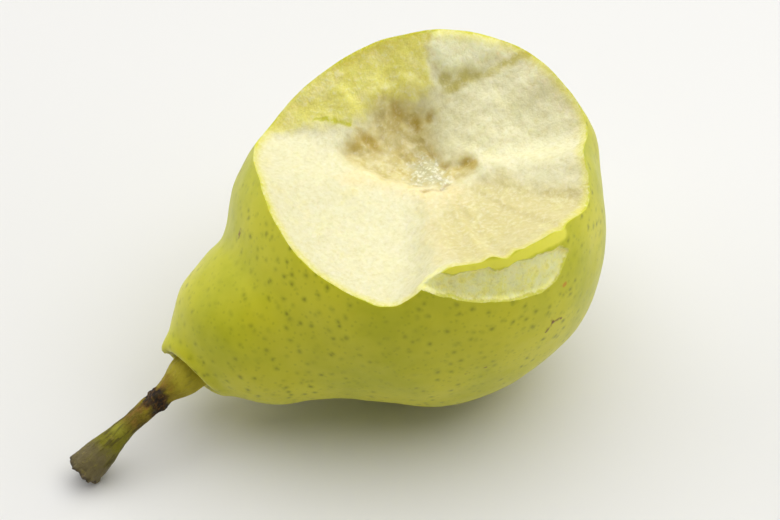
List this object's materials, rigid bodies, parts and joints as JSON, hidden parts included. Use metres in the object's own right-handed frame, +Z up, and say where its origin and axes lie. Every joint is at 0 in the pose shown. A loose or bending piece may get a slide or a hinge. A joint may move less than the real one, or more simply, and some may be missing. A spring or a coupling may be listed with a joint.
{
  "type": "pear",
  "caption": "Bitten pear lying on its side, with a woody stem and dried blossom, and a wide hollow bitten into the top of its bulb.",
  "frame": {"origin": "centre of the small flat spot under the bulb that the pear rests on", "axes": "+Z up from the resting surface; +X along the length of the pear as it lies, from the stem towards the blossom end; +Y completes the right-handed frame"},
  "size_m": [0.1201, 0.0755, 0.0689],
  "materials": {
    "pear_skin_and_flesh": "waxy yellow-green skin with small darker dots; moist cream flesh where bitten",
    "woody_stem": "olive to brown bark, grey at the broken end",
    "dried_sepal": "dry dark brown leaf tissue"
  },
  "bodies": {
    "root": {"pear_flesh": "pear_skin_and_flesh", "stem": "woody_stem", "sepal_1": "dried_sepal", "sepal_2": "dried_sepal", "sepal_3": "dried_sepal", "sepal_4": "dried_sepal", "sepal_5": "dried_sepal"}
  },
  "joints": []
}
